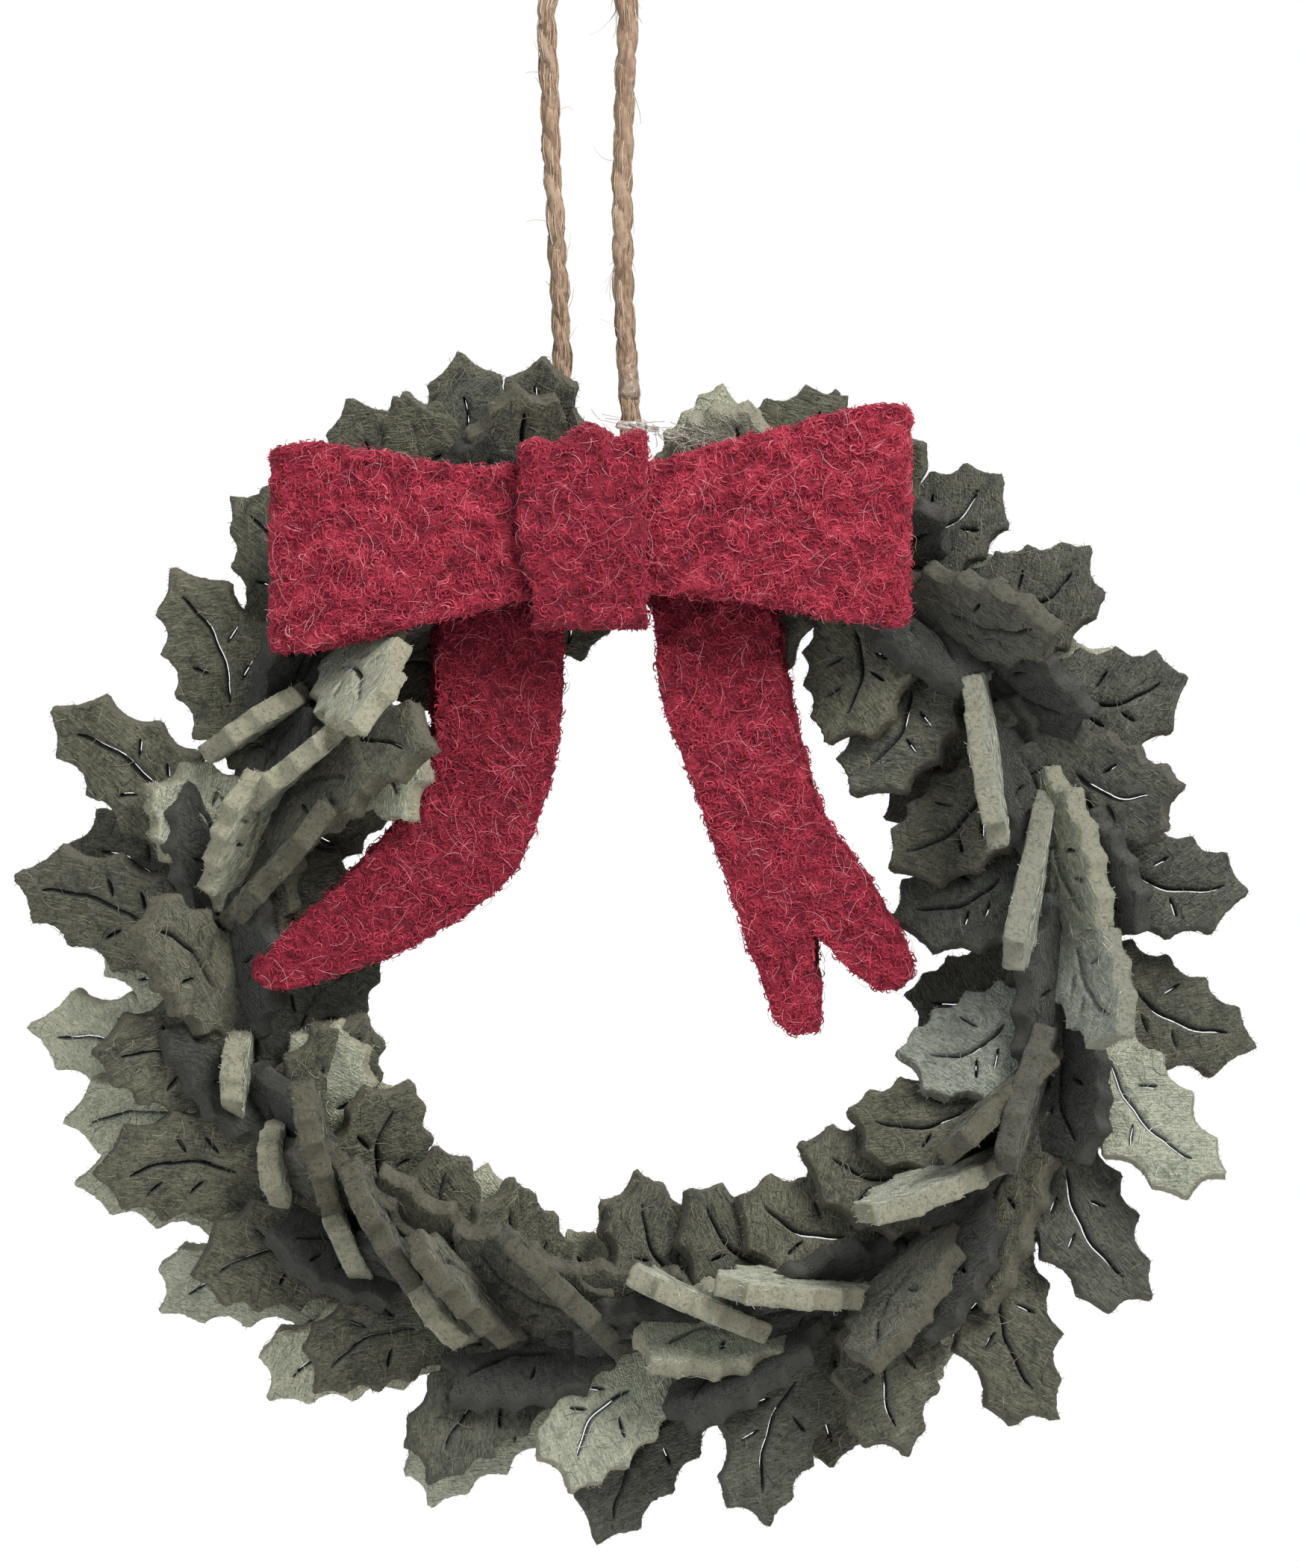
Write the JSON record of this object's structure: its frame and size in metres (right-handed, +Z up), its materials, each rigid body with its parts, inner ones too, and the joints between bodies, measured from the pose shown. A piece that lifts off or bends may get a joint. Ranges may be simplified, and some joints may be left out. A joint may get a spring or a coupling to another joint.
{
  "type": "hanging wreath ornament",
  "caption": "Small hanging Christmas wreath of holly-shaped felt leaves on a wire ring, with a plush bow and a twine loop to hang it by.",
  "frame": {"origin": "top of the twine loop, where a hook or twig carries it", "axes": "+Z up along the hanging cord, front of the wreath faces -Y, +X to the viewer's right"},
  "size_m": [0.1389, 0.0408, 0.1764],
  "materials": {
    "felt_dark": "grey-green pressed felt with paler fibres",
    "felt_pale": "pale sage pressed felt with paler fibres",
    "plush": "red boucle plush with pink stray hairs",
    "jute": "natural jute, two plies twisted, with stray fibres",
    "wire": "plain drawn wire",
    "glue": "hardened clear hot glue, slightly milky"
  },
  "bodies": {
    "cord": {"hanging_twine": "jute", "glue_cone": "glue"},
    "wreath": {"bow_centre_band": "plush", "bow_loop_left": "plush", "bow_loop_right": "plush", "glue_dab": "glue", "ring_wire": "wire", "tail_left_back": "plush", "tail_left_front": "plush", "tail_right_back": "plush", "tail_right_front": "plush", "leaf_sprig_01_dark": "felt_dark", "leaf_sprig_02_dark": "felt_dark", "leaf_sprig_03_dark": "felt_dark", "leaf_sprig_04_dark": "felt_dark", "leaf_sprig_05_dark": "felt_dark", "leaf_sprig_06_dark": "felt_dark", "leaf_sprig_07_pale": "felt_pale", "leaf_sprig_08_dark": "felt_dark", "leaf_sprig_09_pale": "felt_pale", "leaf_sprig_10_dark": "felt_dark", "leaf_sprig_11_dark": "felt_dark", "leaf_sprig_12_dark": "felt_dark", "leaf_sprig_13_dark": "felt_dark", "leaf_sprig_14_dark": "felt_dark", "leaf_sprig_15_pale": "felt_pale", "leaf_sprig_16_dark": "felt_dark", "leaf_sprig_17_dark": "felt_dark", "leaf_sprig_18_dark": "felt_dark", "leaf_sprig_19_dark": "felt_dark", "leaf_sprig_20_dark": "felt_dark", "leaf_sprig_21_dark": "felt_dark", "leaf_sprig_22_dark": "felt_dark", "leaf_sprig_23_dark": "felt_dark", "leaf_sprig_24_pale": "felt_pale", "leaf_sprig_25_dark": "felt_dark", "leaf_sprig_26_pale": "felt_pale", "leaf_sprig_27_dark": "felt_dark", "leaf_sprig_28_pale": "felt_pale", "leaf_sprig_29_dark": "felt_dark", "leaf_sprig_30_dark": "felt_dark", "leaf_sprig_31_dark": "felt_dark", "leaf_sprig_32_pale": "felt_pale", "leaf_sprig_33_dark": "felt_dark", "leaf_sprig_34_dark": "felt_dark", "leaf_sprig_35_pale": "felt_pale", "leaf_sprig_36_dark": "felt_dark", "leaf_sprig_37_pale": "felt_pale", "leaf_sprig_38_dark": "felt_dark", "leaf_sprig_39_pale": "felt_pale", "leaf_sprig_40_dark": "felt_dark", "leaf_sprig_41_dark": "felt_dark", "leaf_sprig_42_pale": "felt_pale", "leaf_sprig_43_dark": "felt_dark", "leaf_sprig_44_dark": "felt_dark", "leaf_sprig_45_dark": "felt_dark", "leaf_sprig_46_dark": "felt_dark", "leaf_sprig_47_dark": "felt_dark", "leaf_sprig_48_pale": "felt_pale"}
  },
  "joints": [
    {"name": "wreath_swing", "type": "hinge", "parent": "cord", "child": "wreath", "pos_m": [0.0013, 0, -0.0618], "axis": [1, 0, 0], "range_deg": [-18, 48]}
  ]
}
